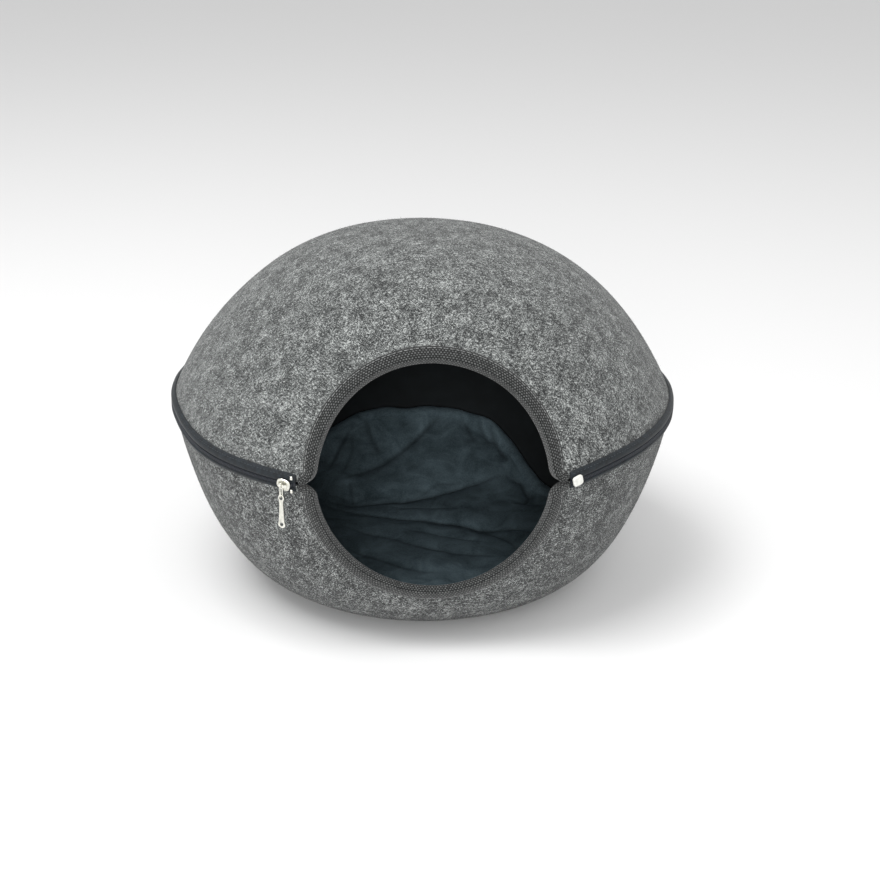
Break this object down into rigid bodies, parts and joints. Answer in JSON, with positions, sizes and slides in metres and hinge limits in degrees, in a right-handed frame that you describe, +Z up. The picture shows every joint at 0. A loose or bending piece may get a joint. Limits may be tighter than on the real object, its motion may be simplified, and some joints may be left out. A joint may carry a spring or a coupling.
{
  "type": "felt cat cave",
  "caption": "Round moulded felt cat cave in two halves, zipped together round the middle, with a bound round way in and a loose cushion inside.",
  "frame": {"origin": "Middle of the flat base, on the floor under the cave.", "axes": "+Z up; the way in faces -Y; +X to the right seen from the front."},
  "size_m": [0.47, 0.4443, 0.33],
  "materials": {
    "felt": "needle-punched heather grey felt, moulded, matt and slightly hairy",
    "lining_cloth": "dark slate woven lining, matt",
    "cushion_cloth": "dark slate short-pile cloth, soft sheen, wrinkled",
    "binding_tape": "grey knitted tape, matt",
    "zip_tape": "dark slate woven zip tape",
    "zip_coil": "dark moulded coil teeth",
    "nickel": "bright nickel-plated zinc",
    "retainer_plastic": "white moulded plastic"
  },
  "bodies": {
    "root": {"felt_dome": "felt", "felt_bowl": "felt", "dome_lining": "lining_cloth", "bowl_lining": "lining_cloth", "cushion": "cushion_cloth", "dome_binding": "binding_tape", "bowl_binding": "binding_tape", "zip_tape_upper": "zip_tape", "zip_tape_lower": "zip_tape", "zip_chain": "zip_coil", "slider": "nickel", "pull_link": "nickel", "pull": "nickel", "stop_upper": "nickel", "stop_lower": "nickel", "retainer_box": "retainer_plastic"}
  },
  "joints": []
}
